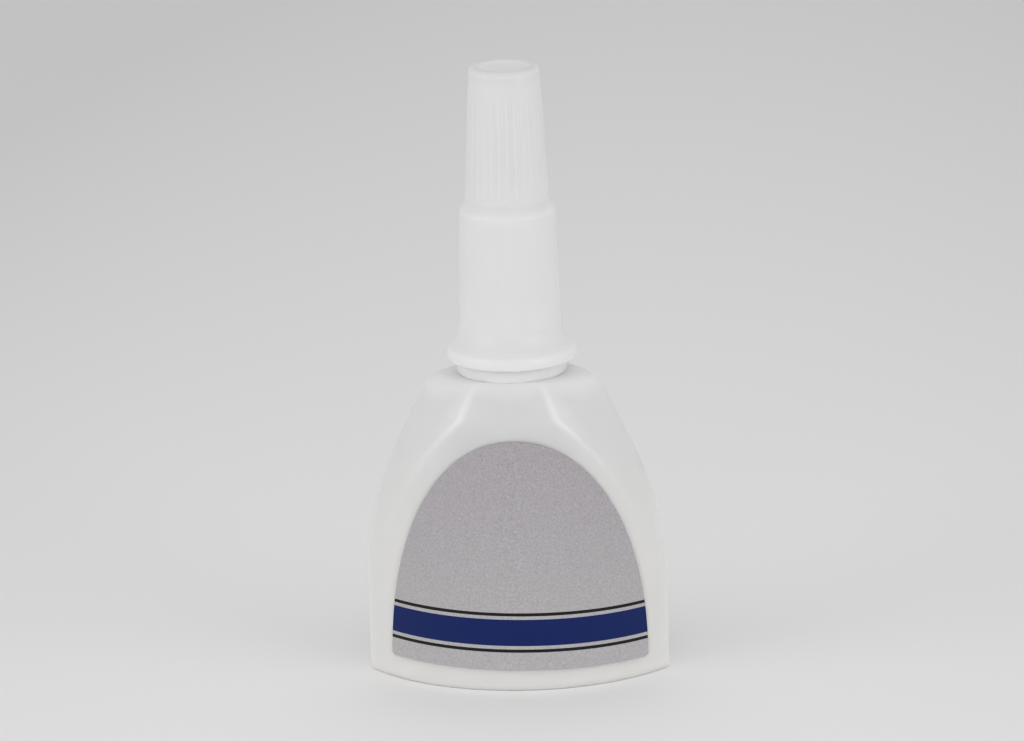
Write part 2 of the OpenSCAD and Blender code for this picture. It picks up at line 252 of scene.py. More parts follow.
# Rings of the bottle at heights z, set in by an inset: half the front is the panel's arc, softly cut by the
# collar, then a fillet at the ridge, then a quadratic curve out to the side. Mirrored into four quarters.
def bottleRings(z, inset, shift=0):
    z, inset, shift = np.broadcast_arrays(np.asarray(z, float), inset, shift)
    at = (z + shift)[:, None]  # the inside of the crown lies one wall below its outside
    inset = inset[:, None]
    width = halfWidth(at) - inset
    radius = panelRadius - inset
    depth = halfDepth - inset
    lean = (halfDepth - rootRadius) / bottle["crownHeight"]
    collar = halfDepth - lean * (at - crownZ) - inset
    soft = bottle["creaseRound"]

    def panelDepth(x):
        arc = depth - radius + np.sqrt(radius ** 2 - x ** 2)
        cut = collar - bottle["collarRadius"] + np.sqrt(bottle["collarRadius"] ** 2 - x ** 2)
        return -soft * np.logaddexp(-arc / soft, -cut / soft)

    topHalf, collarHalf = bottle["panelTopWidth"] / 2, bottle["collarWidth"] / 2
    arch = panelHalf - (panelHalf - topHalf) * (at / crownZ) ** bottle["panelPower"]
    straight = topHalf - (topHalf - collarHalf) * (at - crownZ) / bottle["crownHeight"]
    ridgeX = np.where(at <= crownZ, arch, straight) - inset
    ridge = np.stack([ridgeX, panelDepth(ridgeX)], -1)
    side = np.stack([width, bottle["sideFullness"] * ridge[..., 1]], -1)
    reach = np.linalg.norm(side - ridge, axis=-1)
    fillet = np.minimum(bottle["ridgeRound"], bottle["ridgeReach"] * reach)
    panelX = (ridgeX - fillet) * np.linspace(0, 1, bottle["panelSteps"] + 1)
    panel = np.stack([panelX, panelDepth(panelX)], -1)
    after = ridge + (side - ridge) * (fillet / reach)[..., None]
    t = np.linspace(0, 1, bottle["ridgeSteps"] + 1)[1:, None]
    turn = (1 - t) ** 2 * panel[:, -1:] + 2 * t * (1 - t) * ridge + t ** 2 * after
    t = np.linspace(0, 1, bottle["sideSteps"] + 1)[1:, None]
    flank = (1 - t) ** 2 * after + 2 * t * (1 - t) * side + t ** 2 * side * [1, 0]
    quarter = np.concatenate([panel, turn, flank], 1)
    forward, backward = quarter[:, :-1], quarter[:, :0:-1]
    ring = np.concatenate([backward, forward * [-1, 1], -backward, forward * [1, -1]], 1)
    return np.concatenate([ring, np.broadcast_to(z[:, None, None], ring.shape[:2] + (1,))], -1)


# Share of ridge in each column of a ring: 1 in the middle of the fillet, fading to 0 as many columns away as
# the fillet has
def ridgeShare():
    column = np.arange(bottle["panelSteps"] + bottle["ridgeSteps"] + bottle["sideSteps"] + 1)
    off = np.abs(column - bottle["panelSteps"] - bottle["ridgeSteps"] / 2)
    quarter = np.clip(1 - off / bottle["ridgeSteps"], 0, 1)
    forward, backward = quarter[:-1], quarter[:0:-1]
    return np.concatenate([backward, forward, backward, forward])


# Height of a thread ridge over a point: a trapezium across the helix, which runs out at both ends
def threadRelief(height, angle, start, rise):
    turns = rise / thread["pitch"]
    share = angle / (2 * np.pi) % 1
    turn = share + np.round((height - start) / thread["pitch"] - share)
    off = np.abs(height - start - turn * thread["pitch"])
    across = np.clip((thread["footHalf"] * ridgeWidth - off) / (thread["flank"] * ridgeWidth), 0, 1)
    along = np.clip(np.minimum(turn, turns - turn) / thread["runOut"], 0, 1)
    return thread["height"] * across * along


# Rings of a rounded heel: a quarter circle up and out from a floor
def heelRings(floorZ, inset, steps=8):
    a = np.linspace(0, np.pi / 2, steps + 1)
    heel = bottle["heelRadius"]
    return bottleRings(floorZ + heel * (1 - np.cos(a)), inset + heel * (1 - np.sin(a)))


# Smaller copies of a ring, from near its middle outwards, which dip by a share that fades as a sixth power
def fan(ring, outermost, dip=0, innermost=0.15, steps=8):
    share = np.linspace(innermost, outermost, steps)[:, None, None]
    flat = ring * np.concatenate([share, share, np.ones_like(share)], -1)
    return flat - np.array([0, 0, dip]) * (1 - share ** 6)


# One closed skin: rings from the hollow base up the outside, the neck turned on the same columns, then rings
# down the inside to the floor
def makeBottle():
    rim = bottle["heelRadius"] + bottle["rimWidth"]
    slope = bottle["hollowSlope"]
    hollowEdge = bottleRings([bottle["hollow"], bottle["hollow"] * bottle["hollowBend"], 0],
                             [rim + slope * 1.5, rim + slope / 2, rim - slope / 2])
    top, curl, step = bottle["bodyHeight"], bottle["crownCurl"], bottle["rowStep"]
    curlShare = bottle["curlShare"]
    crownFoot = crownZ - bottle["crownLead"]
    upright = np.concatenate([
        np.arange(bottle["heelRadius"] + step, crownFoot, step),  # up the side
        np.linspace(crownFoot, top - curl, bottle["crownRows"]),  # over the crown
        top - curl * np.linspace(curlShare, 0, bottle["curlRows"]) ** 2,  # in to the neck ring
    ])
    outside = bottleRings(upright, 0)
    angle = np.arctan2(outside[-1, :, 1], outside[-1, :, 0])  # the neck keeps the columns of the crown

    def neckRelief(radius, height, angle):
        onNeck = np.abs(radius - neckRadius) < sameRadius
        return np.where(onNeck, threadRelief(height, angle, threadZ, threadRise), 0)

    ringRadius, chamfer = neck["ringDiameter"] / 2, neck["ringStep"] / 2
    boreRadius = neck["bore"] / 2
    innerTop = top - bottle["wall"]
    finish = roundedProfile([
        (ringRadius - chamfer, top, 0, 1),
        (ringRadius, top + chamfer, 0.15, 1),
        (ringRadius, ringTop, neck["edge"], 1),
        (neckRadius, ringTop, 0, 0.14),
        (neckRadius, lipZ, 0.3, 1),
        (boreRadius, lipZ, 0.2, 3),
        (boreRadius, innerTop, 0, 1),
    ])
    step = bottle["innerRowStep"]
    inner = np.concatenate([
        innerTop - curl * np.linspace(0, curlShare, bottle["innerCurlRows"]) ** 2,  # out from the bore
        np.linspace(innerTop - bottle["innerCrownDrop"], fillZ, bottle["innerCrownRows"]),  # down to the glue
        np.arange(fillZ - step, bottle["floor"] + bottle["heelRadius"] + step / 3, -step),  # down the side
    ])
    drop = bottle["wall"] * np.clip((inner - fillZ) / (crownZ - bottle["wall"] - fillZ), 0, 1)
    inside = bottleRings(inner, bottle["wall"], drop)
    insideHeel = heelRings(bottle["floor"], bottle["wall"])[::-1]
    rows = np.concatenate([
        fan(hollowEdge[:1], outermost=0.97),
        hollowEdge,
        heelRings(0, 0),
        outside,
        turned(finish, angle, neckRelief),
        inside,
        insideHeel,
        fan(insideHeel[-1:], outermost=0.97)[::-1],
    ])
    poles = [(0, 0, bottle["hollow"]), (0, 0, bottle["floor"])]
    piece = meshPiece("glueBottle", *skin(rows, poles))
    # The ridge share goes on the points as the mask for the painted highlights on the ridges
    share = np.concatenate([np.tile(ridgeShare(), len(rows)), np.zeros(len(poles))])
    piece.data.attributes.new("ridge", "FLOAT", "POINT").data.foreach_set("value", share)
    replaceNode(piece, "bottle", "bottle")
    return piece


glueBottle = makeBottle()


# Glue: the same rings, set in by the wall and a hair more, up to a surface that dips in the middle
def makeGlue():
    inset = bottle["wall"] + glue["gap"]
    foot = bottle["floor"] + glue["gap"]
    heel = heelRings(foot, inset)
    sideFoot = foot + bottle["heelRadius"] + bottle["rowStep"]
    side = bottleRings(np.arange(sideFoot, fillZ, glue["rowStep"]), inset)
    edge = bottleRings([fillZ], inset)
    rows = np.concatenate([
        fan(heel[:1], outermost=0.98),
        heel,
        side,
        edge,
        fan(edge, outermost=0.98, dip=glue["meniscus"])[::-1],
    ])
    piece = meshPiece("glueLiquid", *skin(rows, [(0, 0, foot), (0, 0, fillZ - glue["meniscus"])]))
    replaceNode(piece, "glue_fill", "bottle")
    return piece


glueLiquid = makeGlue()


# Screw cap: flared foot, long sleeve, sloping step and a ribbed upper part with a dished top
cap = {
    "height": 44.3,
    "gap": 0.15,
    "wall": 1.3,
    "upperWall": 1.1,
    "roof": 1.5,
    "dish": 0.35,
    "topEdge": 0.9,
    "flangeWidth": 2,
    "flangeHeight": 1.6,
    "flareHeight": 3,
    "stepZ": 22.7,
    "stepHeight": 1.5,
    "stepWidth": 0.9,
    "sleeveDraft": 1.6,  # degrees
    "upperDraft": 2.9,
    "ribs": 30,
    "ribRadius": 0.35,
    "ribOut": 0.06,
    "ribTopGap": 4.2,
    "ribFootGap": 0.8,
    "ribFade": 0.5,
    "pointsPerRib": 12,
}
nozzle = {
    "spout": 7.2,
    "tip": 3,
    "outlet": 1.3,
    "outletLength": 4.2,
    "plugLength": 7,
    "wall": 1.1,
    "flange": 1.2,
    "plugClear": 0.02,
    "slope": 0.7,
    "pointsAround": 96,
}
pin = {
    "shank": 2,
    "needleClear": 0.15,
    "needleShort": 1.2,
    "shankClear": 0.04,
    "bossWall": 1.2,
    "bossLength": 2.6,
    "seat": 0.5,
    "tipGap": 0.6,
    "headClear": 1,
    "pointsAround": 48,
}
capZ = ringTop + cap["gap"]
capTop = capZ + cap["height"]
threadBore = neckRadius + thread["height"] + thread["clear"]
sleeveRadius = threadBore + cap["wall"]
ceilingZ = capTop - cap["dish"] - cap["roof"]
bossZ = ceilingZ - pin["bossLength"]
tipZ = bossZ - pin["tipGap"]
spoutFootZ = lipZ + nozzle["flange"]
shankTopZ = ceilingZ + pin["seat"]


# One profile turned about the axis: from the pin's bore down the inside, round the foot and up the outside
# to the middle of the top
def makeCap():
    flangeRadius = sleeveRadius + cap["flangeWidth"]
    flareZ = capZ + cap["flangeHeight"] + cap["flareHeight"]
    stepFootZ = capZ + cap["stepZ"]
    stepTopZ = stepFootZ + cap["stepHeight"]
    sleeveTop = sleeveRadius - (stepFootZ - flareZ) * math.tan(math.radians(cap["sleeveDraft"]))
    upperRadius = sleeveTop - cap["stepWidth"]
    draft = math.tan(math.radians(cap["upperDraft"]))
    topRadius = upperRadius - (capTop - stepTopZ) * draft
    ribFootZ = stepTopZ + cap["ribFootGap"]
    ribTopZ = capTop - cap["ribTopGap"]
    shankBore = pin["shank"] / 2 + pin["shankClear"]
    bossRadius = shankBore + pin["bossWall"]
    boreTopZ = spoutFootZ + pin["headClear"]

    def upperAt(z):
        return upperRadius - (z - stepTopZ) * draft

    # ribs are round rods sunk in the side, and the thread is inside the foot
    def relief(radius, height, angle):
        pitch = 2 * np.pi / cap["ribs"]
        off = (angle / pitch + 0.5) % 1 - 0.5
        rod = np.sqrt(np.maximum(0, cap["ribRadius"] ** 2 - (off * pitch * radius) ** 2))
        ends = np.clip(np.minimum(height - ribFootZ, ribTopZ - height) / cap["ribFade"], 0, 1)
        onRibs = np.abs(radius - upperAt(height)) < 2 * sameRadius
        rib = np.maximum(0, rod - cap["ribRadius"] + cap["ribOut"]) * np.sqrt(ends) * onRibs
        inBore = (np.abs(radius - threadBore) < sameRadius) & (height < boreTopZ)
        start = threadZ + thread["pitch"] / 2
        return rib - threadRelief(height, angle, start, threadRise - thread["pitch"] / 2) * inBore

    fade = cap["ribFade"]
    profile = roundedProfile([
        (shankBore, shankTopZ + pin["shankClear"], 0, 2),
        (shankBore, bossZ, 0.15, 1),
        (bossRadius, bossZ, 0.2, 2),
        (bossRadius, ceilingZ, 0.2, 2),
        (topRadius - cap["upperWall"], ceilingZ, 0.4, 4),
        (upperRadius - cap["upperWall"], stepTopZ, 0.3, 4),
        (sleeveTop - cap["upperWall"], stepFootZ, 0.3, 4),
        (threadBore, boreTopZ, 0, 0.15),
        (threadBore, capZ + neck["edge"], 0, 1),
        (threadBore + neck["edge"], capZ, 0.1, 1),
        (flangeRadius, capZ, 0.7, 1),
        (flangeRadius, capZ + cap["flangeHeight"], 0.6, 1),
        (sleeveRadius + cap["flangeWidth"] / 3, flareZ - cap["flareHeight"] / 2, 0.8, 1),
        (sleeveRadius, flareZ, 0.7, 3),
        (sleeveTop, stepFootZ, 0.55, 1),
        (upperRadius, stepTopZ, 0.55, 1),
        (upperAt(ribFootZ), ribFootZ, 0, 0.1),
        (upperAt(ribFootZ + fade), ribFootZ + fade, 0, 3),
        (upperAt(ribTopZ - fade), ribTopZ - fade, 0, 0.1),
        (upperAt(ribTopZ), ribTopZ, 0, 1.5),
        (topRadius, capTop, cap["topEdge"], 1),
        (topRadius - 1.5 * cap["topEdge"], capTop, 0.4, 1),
        (topRadius - 3 * cap["topEdge"], capTop - cap["dish"], 0.9, 1.5),
        (0.4, capTop - cap["dish"], 0, 1),
    ], curveSteps=5)
    rows = turned(profile, evenAngles(cap["ribs"] * cap["pointsPerRib"]), relief)
    poles = [(0, 0, shankTopZ + pin["shankClear"]), (0, 0, capTop - cap["dish"])]
    piece = meshPiece("screwCap", *skin(rows, poles))
    replaceNode(piece, "cap", "cap")
    return piece


screwCap = makeCap()


# Nozzle: a plug in the neck, a flange on its lip and a long spout, turned as one closed tube
def makeNozzle():
    plugRadius = neck["bore"] / 2 - nozzle["plugClear"]
    plugFootZ = lipZ - nozzle["plugLength"]
    spoutRadius = nozzle["spout"] / 2
    profile = roundedProfile([
        (plugRadius - nozzle["wall"], plugFootZ, 0.2, 2),
        (plugRadius - neck["edge"], plugFootZ, 0.2, 1),
        (plugRadius, plugFootZ + 2 * neck["edge"], 0.2, 2),
        (plugRadius, lipZ, 0, 1),
        (neckRadius, lipZ, 0.1, 1),
        (neckRadius, spoutFootZ, 0.25, 1),
        (spoutRadius + nozzle["slope"], spoutFootZ, 0.5, 1),
        (spoutRadius, spoutFootZ + nozzle["slope"], 0.6, 2),
        (nozzle["tip"] / 2, tipZ, 0.35, 1),
        (nozzle["outlet"] / 2, tipZ, 0.1, 1),
        (nozzle["outlet"] / 2, tipZ - nozzle["outletLength"], 0.4, 3),
        (spoutRadius - nozzle["wall"], spoutFootZ + nozzle["slope"], 0.5, 1),
        (plugRadius - nozzle["wall"], lipZ - nozzle["wall"], 0.5, 2),
    ], loop=True)
    piece = meshPiece("dropNozzle", *skin(turned(profile, evenAngles(nozzle["pointsAround"]))))
    replaceNode(piece, "nozzle", "bottle")
    return piece


dropNozzle = makeNozzle()


# Sealing pin: a profile turned about the axis, with a stout shank and a thin needle with a chamfered end
def makePin():
    needleRadius = nozzle["outlet"] / 2 - pin["needleClear"]
    needleFootZ = tipZ - nozzle["outletLength"] + pin["needleShort"]
    shankFootZ = tipZ + pin["tipGap"] / 2
    shankRadius = pin["shank"] / 2
    profile = roundedProfile([
        (needleRadius / 2, needleFootZ, 0.08, 1),
        (needleRadius, needleFootZ + needleRadius, 0.15, 1),
        (needleRadius, shankFootZ, 0.1, 1),
        (shankRadius, shankFootZ, 0.1, 1),
        (shankRadius, shankTopZ, 0.1, 1),
        (shankRadius / 2, shankTopZ, 0, 1),
    ])
    rows = turned(profile[1:], evenAngles(pin["pointsAround"]))
    piece = meshPiece("sealingPin", *skin(rows, [(0, 0, needleFootZ), (0, 0, shankTopZ)]))
    replaceNode(piece, "cap_pin", "cap_pin")
    return piece


sealingPin = makePin()


# Labels: a film with a straight foot and an arched top, bent round its panel
label = {
    "margin": 1.7,
    "topGap": 2.9,
    "footZ": 3.3,
    "archPower": 2.1,
    "cornerRadius": 0.4,
    "thickness": 0.12,
    "adhesive": 0.02,
    "shift": 0.4,  # the front one was stuck on a little to the right
    "turn": -1,  # and a degree clockwise
    "acrossSteps": 64,
    "upSteps": 48,
    "footSteps": 4,  # finer rows round the foot corners
    "archEnd": 0.9999,  # the last row stops just short of the tip, so that it keeps a width
}
labelWidth = 2 * (panelHalf - label["margin"])
labelHeight = crownZ - label["topGap"] - label["footZ"]


# A flat sheet is a grid of the share across and the share up. Its half width is a superellipse's, less
# a round at the foot corners. It is turned and shifted flat, then laid on cylinders for its two faces.
def makeLabel(name, node, front, shift, turn):
    across = np.linspace(-1, 1, label["acrossSteps"] + 1)
    up = np.sin(np.linspace(0, np.pi / 2, label["upSteps"] + 1))
    foot = np.linspace(0, up[1], label["footSteps"] + 1)[:-1]
    up = np.concatenate([foot, up[1:-1], [label["archEnd"]]])[:, None]
    power, corner = label["archPower"], label["cornerRadius"]
    low = np.clip(corner - up * labelHeight, 0, corner)
    half = labelWidth / 2 * (1 - up ** power) ** (1 / power) - corner + np.sqrt(corner ** 2 - low ** 2)
    flatX, flatZ = half * across, up * labelHeight + 0 * across
    angle = math.radians(turn)
    x = shift + flatX * math.cos(angle) - flatZ * math.sin(angle)
    z = label["footZ"] + flatX * math.sin(angle) + flatZ * math.cos(angle)

    def laid(radius):
        y = panelRadius - halfDepth - np.sqrt(radius ** 2 - x ** 2)
        return np.stack([x, y, z], -1) * ([1, 1, 1] if front else [-1, -1, 1])

    back = laid(panelRadius + label["adhesive"])
    face = laid(panelRadius + label["adhesive"] + label["thickness"])
    index = np.arange(face[..., 0].size).reshape(face.shape[:2])
    other = index + index.size
    quads = [np.stack([grid[:-1, :-1], grid[:-1, 1:], grid[1:, 1:], grid[1:, :-1]], -1).reshape(-1, 4)
             for grid in (index, other[:, ::-1])]
    edge = np.concatenate([index[0, :-1], index[:-1, -1], index[-1, :0:-1], index[:0:-1, 0]])
    following = np.roll(edge, -1)
    quads.append(np.stack([edge, edge + index.size, following + index.size, following], -1))
    faces = np.concatenate(quads)
    piece = meshPiece(name, np.concatenate([face.reshape(-1, 3), back.reshape(-1, 3)]), faces.tolist())
    # UV is the flat sheet, as shares of its width and height
    flat = np.stack([0.5 + flatX / labelWidth, flatZ / labelHeight], -1).reshape(-1, 2)
    uv = np.concatenate([flat, flat])[faces.ravel()]
    piece.data.uv_layers.new(name="flatSheet").data.foreach_set("uv", uv.ravel())
    replaceNode(piece, node, "bottle")
    return piece


frontLabel = makeLabel("frontLabel", "front_label", True, label["shift"], label["turn"])
backLabel = makeLabel("backLabel", "back_label", False, 0, 0)


# Materials. The first function turns an sRGB hex value to linear light: a straight foot, then a power curve.

def linear(hexColour):
    channels = np.array([int(hexColour[i:i + 2], 16) for i in (0, 2, 4)]) / 255
    low = channels / 12.92
    high = ((channels + 0.055) / 1.055) ** 2.4
    return (*np.where(channels <= 0.04045, low, high), 1)


# A node with its settings. An input is either a value or another node's output. On a colour Mix, input 0 is
# the share, 6 and 7 are the two colours, and the result is output 2.
def addNode(tree, kind, inputs, **settings):
    node = tree.nodes.new(kind)
    for name, value in settings.items():
        setattr(node, name, value)
    for socket, value in inputs.items():
        if isinstance(value, bpy.types.NodeSocket):
            tree.links.new(value, node.inputs[socket])
        else:
            node.inputs[socket].default_value = value
    return node


def newMaterial(name):
    material = bpy.data.materials.new(name)
    material.use_nodes = True
    material.node_tree.nodes.clear()
    return material, material.node_tree


# Scale of a pattern whose marks are this many millimetres across
def perMm(size):
    return 1 / (size * mm)


# Natural polyethylene, blow moulded: waxy and milky, so that what is inside only tints it. It is warmer and
# lighter over the glue and greyer above it, the grey towards the crown partly painted shade. The panels above
# the glue are painted darker still, painted shade where they turn up to the light at the crown. Round the
# neck the shoulder is painted lighter, painted light against the shade under the cap's flange, the ridge
# lines at the top are painted highlights, and the neck ring and neck take a tone of their own.
bottleTones = {
    "overGlue": ("EBEAE6", "F0EFEB"),
    "empty": ("E2E2E2", "E7E7E7"),
    "emptyRange": (18, 37),  # heights between which the glue's tint fades and the painted shade of the crown comes in
    "panel": "DEDEDE",  # painted shade on the panels above the glue
    "panelRange": (9.8, 11.6),  # distances in front of or behind the middle of the bottle
    # Painted light round the neck, against the shade under the cap's flange
    "shoulder": "FAFAFA",
    "shoulderRange": (9.8, 7.8),  # half depths of an oval round the neck
    "shoulderOval": 0.72,  # its depth as a share of its width
    # Painted highlights along the ridge lines near the top
    "ridge": "F2F2F2",
    "ridgeRange": (38, crownZ),  # heights over which the painted highlights on the ridges come up
    "ring": "EEEEEE",
    "ringRange": (bottle["bodyHeight"], bottle["bodyHeight"] + 0.2),
}


def naturalPolyethylene():
    material, tree = newMaterial("naturalPolyethylene")
    place = addNode(tree, "ShaderNodeTexCoord", {}).outputs["Object"]
    cloud = addNode(tree, "ShaderNodeTexNoise", {
        "Vector": place, "Scale": perMm(9), "Detail": 2}).outputs["Fac"]
    grain = addNode(tree, "ShaderNodeTexNoise", {
        "Vector": place, "Scale": perMm(0.5), "Detail": 3}).outputs["Fac"]
    spread = addNode(tree, "ShaderNodeSeparateXYZ", {"Vector": place}).outputs
    height = spread["Z"]
    depth = addNode(tree, "ShaderNodeMath", {0: spread["Y"]}, operation="ABSOLUTE").outputs[0]
    oval = addNode(tree, "ShaderNodeMapping", {
        "Vector": place, "Scale": (bottleTones["shoulderOval"], 1, 0)}).outputs["Vector"]
    reach = addNode(tree, "ShaderNodeVectorMath", {0: oval}, operation="LENGTH").outputs["Value"]
    share = {}
    for name, value in (("empty", height), ("panel", depth), ("shoulder", reach), ("ridge", height),
                        ("ring", height)):
        low, high = bottleTones[name + "Range"]
        share[name] = addNode(tree, "ShaderNodeMapRange", {
            "Value": value, "From Min": low * mm, "From Max": high * mm}).outputs["Result"]
    onRidge = addNode(tree, "ShaderNodeAttribute", {}, attribute_name="ridge").outputs["Fac"]
    share["ridge"] = addNode(tree, "ShaderNodeMath", {
        0: onRidge, 1: share["ridge"]}, operation="MULTIPLY").outputs[0]
    wall = {}
    for name in ("overGlue", "empty"):
        low, high = bottleTones[name]
        wall[name] = addNode(tree, "ShaderNodeMix", {
            0: cloud, 6: linear(low), 7: linear(high)}, data_type="RGBA").outputs[2]
    # Painted shade on the panels above the glue
    clear = addNode(tree, "ShaderNodeMix", {
        0: share["panel"], 6: wall["empty"], 7: linear(bottleTones["panel"])}, data_type="RGBA").outputs[2]
    tone = addNode(tree, "ShaderNodeMix", {
        0: share["empty"], 6: wall["overGlue"], 7: clear}, data_type="RGBA").outputs[2]
    # Then painted light round the neck, painted highlights on the ridges, and the neck ring's own tone
    for name in ("shoulder", "ridge", "ring"):
        tone = addNode(tree, "ShaderNodeMix", {
            0: share[name], 6: tone, 7: linear(bottleTones[name])}, data_type="RGBA").outputs[2]
    rough = addNode(tree, "ShaderNodeMapRange", {"Value": grain, "To Min": 0.38, "To Max": 0.5})
    bump = addNode(tree, "ShaderNodeBump", {"Height": grain, "Strength": 0.15, "Distance": 0.03 * mm})
    shader = addNode(tree, "ShaderNodeBsdfPrincipled", {
        "Base Color": tone,
        "Roughness": rough.outputs["Result"],
        "IOR": 1.54,
        "Subsurface Weight": 1,
        "Subsurface Radius": (1, 1, 1),
        "Subsurface Scale": 2.2 * mm,
        "Transmission Weight": 0.06,
        "Normal": bump.outputs["Normal"],
    })
    addNode(tree, "ShaderNodeOutputMaterial", {"Surface": shader.outputs["BSDF"]})
    return material


# Milky polypropylene, injection moulded: satin and whiter than the bottle, with faint draw lines up its side.
# The upper part is a little thinner and so less white. Its rounded top edge is painted darker still, painted
# shade against the bright rim, and the roof is painted whitest, painted light where little light falls on it.
capTones = {
    "sleeve": ("E2E2E2", "E7E7E7"),
    "upper": "E1E1E1",
    "upperRange": (capZ + cap["stepZ"], capZ + cap["stepZ"] + 6),  # heights
    # Painted shade on the rounded top edge
    "edge": "DADADA",
    "edgeRange": (capTop - 2.5, capTop - 0.3),
    # Painted light on the roof
    "roof": "EAEAEA",
    "roofRange": (4.4, 3.4),  # radii
}


def milkyPolypropylene():
    material, tree = newMaterial("milkyPolypropylene")
    place = addNode(tree, "ShaderNodeTexCoord", {}).outputs["Object"]
    drawn = addNode(tree, "ShaderNodeMapping", {"Vector": place, "Scale": (1, 1, 0.05)}).outputs["Vector"]
    lines = addNode(tree, "ShaderNodeTexNoise", {
        "Vector": drawn, "Scale": perMm(0.6), "Detail": 2}).outputs["Fac"]
    cloud = addNode(tree, "ShaderNodeTexNoise", {
        "Vector": place, "Scale": perMm(7), "Detail": 2}).outputs["Fac"]
    height = addNode(tree, "ShaderNodeSeparateXYZ", {"Vector": place}).outputs["Z"]
    across = addNode(tree, "ShaderNodeMapping", {"Vector": place, "Scale": (1, 1, 0)}).outputs["Vector"]
    radius = addNode(tree, "ShaderNodeVectorMath", {0: across}, operation="LENGTH").outputs["Value"]
    low, high = capTones["sleeve"]
    tone = addNode(tree, "ShaderNodeMix", {
        0: cloud, 6: linear(low), 7: linear(high)}, data_type="RGBA").outputs[2]
    # The thinner upper part, then painted shade on the top edge and painted light on the roof
    for name, value in (("upper", height), ("edge", height), ("roof", radius)):
        low, high = capTones[name + "Range"]
        share = addNode(tree, "ShaderNodeMapRange", {
            "Value": value, "From Min": low * mm, "From Max": high * mm}).outputs["Result"]
        tone = addNode(tree, "ShaderNodeMix", {
            0: share, 6: tone, 7: linear(capTones[name])}, data_type="RGBA").outputs[2]
    rough = addNode(tree, "ShaderNodeMapRange", {"Value": lines, "To Min": 0.32, "To Max": 0.42})
    bump = addNode(tree, "ShaderNodeBump", {"Height": lines, "Strength": 0.1, "Distance": 0.03 * mm})
    shader = addNode(tree, "ShaderNodeBsdfPrincipled", {
        "Base Color": tone,
        "Roughness": rough.outputs["Result"],
        "IOR": 1.49,
        "Subsurface Weight": 1,
        "Subsurface Radius": (1, 1, 1),
        "Subsurface Scale": 1.5 * mm,
        "Normal": bump.outputs["Normal"],
    })
    addNode(tree, "ShaderNodeOutputMaterial", {"Surface": shader.outputs["BSDF"]})
    return material


# Low-density polyethylene, injection moulded: softer and smoother than the bottle, a clearer white
def nozzlePolyethylene():
    material, tree = newMaterial("nozzlePolyethylene")
    place = addNode(tree, "ShaderNodeTexCoord", {}).outputs["Object"]
    cloud = addNode(tree, "ShaderNodeTexNoise", {
        "Vector": place, "Scale": perMm(4), "Detail": 2}).outputs["Fac"]
    tone = addNode(tree, "ShaderNodeMix", {
        0: cloud, 6: linear("E8E8E5"), 7: linear("EEEEEB")}, data_type="RGBA").outputs[2]
    rough = addNode(tree, "ShaderNodeMapRange", {"Value": cloud, "To Min": 0.3, "To Max": 0.38})
    shader = addNode(tree, "ShaderNodeBsdfPrincipled", {
        "Base Color": tone,
        "Roughness": rough.outputs["Result"],
        "IOR": 1.51,
        "Subsurface Weight": 1,
        "Subsurface Radius": (1, 1, 1),
        "Subsurface Scale": 1.5 * mm,
        "Transmission Weight": 0.06,
    })
    addNode(tree, "ShaderNodeOutputMaterial", {"Surface": shader.outputs["BSDF"]})
    return material


# Drawn stainless wire: bright, with fine lines along its length
def drawnStainless():
    material, tree = newMaterial("drawnStainless")
    place = addNode(tree, "ShaderNodeTexCoord", {}).outputs["Object"]
    drawn = addNode(tree, "ShaderNodeMapping", {"Vector": place, "Scale": (1, 1, 0.03)}).outputs["Vector"]
    lines = addNode(tree, "ShaderNodeTexNoise", {
        "Vector": drawn, "Scale": perMm(0.12), "Detail": 3}).outputs["Fac"]
    tone = addNode(tree, "ShaderNodeMix", {
        0: lines, 6: linear("B4B5B7"), 7: linear("C9CACC")}, data_type="RGBA").outputs[2]
    rough = addNode(tree, "ShaderNodeMapRange", {"Value": lines, "To Min": 0.22, "To Max": 0.36})
    bump = addNode(tree, "ShaderNodeBump", {"Height": lines, "Strength": 0.2, "Distance": 0.01 * mm})
    shader = addNode(tree, "ShaderNodeBsdfPrincipled", {
        "Base Color": tone,
        "Metallic": 1,
        "Roughness": rough.outputs["Result"],
        "Normal": bump.outputs["Normal"],
    })
    addNode(tree, "ShaderNodeOutputMaterial", {"Surface": shader.outputs["BSDF"]})
    return material


# Instant glue: a clear liquid with a faint straw tint that deepens towards the foot
def clearGlue():
    material, tree = newMaterial("clearGlue")
    place = addNode(tree, "ShaderNodeTexCoord", {}).outputs["Object"]
    height = addNode(tree, "ShaderNodeSeparateXYZ", {"Vector": place}).outputs["Z"]
    depth = addNode(tree, "ShaderNodeMapRange", {"Value": height, "From Max": fillZ * mm}).outputs["Result"]
    tone = addNode(tree, "ShaderNodeMix", {
        0: depth, 6: linear("ECE2A8"), 7: linear("F0EAC8")}, data_type="RGBA").outputs[2]
    shader = addNode(tree, "ShaderNodeBsdfPrincipled", {
        "Base Color": tone,
        "Roughness": 0.02,
        "IOR": 1.45,
        "Transmission Weight": 1,
    })
    addNode(tree, "ShaderNodeOutputMaterial", {"Surface": shader.outputs["BSDF"]})
    return material


# Silver-grey printed film: matt, so that its inks are deep, with a fine printed grain, drawn coarser than
# life so that it shows. It is painted a shade lighter towards the foot: painted light, where the lower part
# faces the lamps.
labelPrint = {
    # Painted light: the foot's greys are lighter than the top's
    "foot": ("9A989A", "C9C6C8"),  # the grain's dark and light
    "top": ("8F8B8F", "BDB8BC"),
    "bars": [  # middle and half height as shares of the label's height, with the ink
        (0.165, 0.058, "12245C"),
        (0.245, 0.007, "1C1C20"),
        (0.085, 0.007, "1C1C20"),
    ],
}


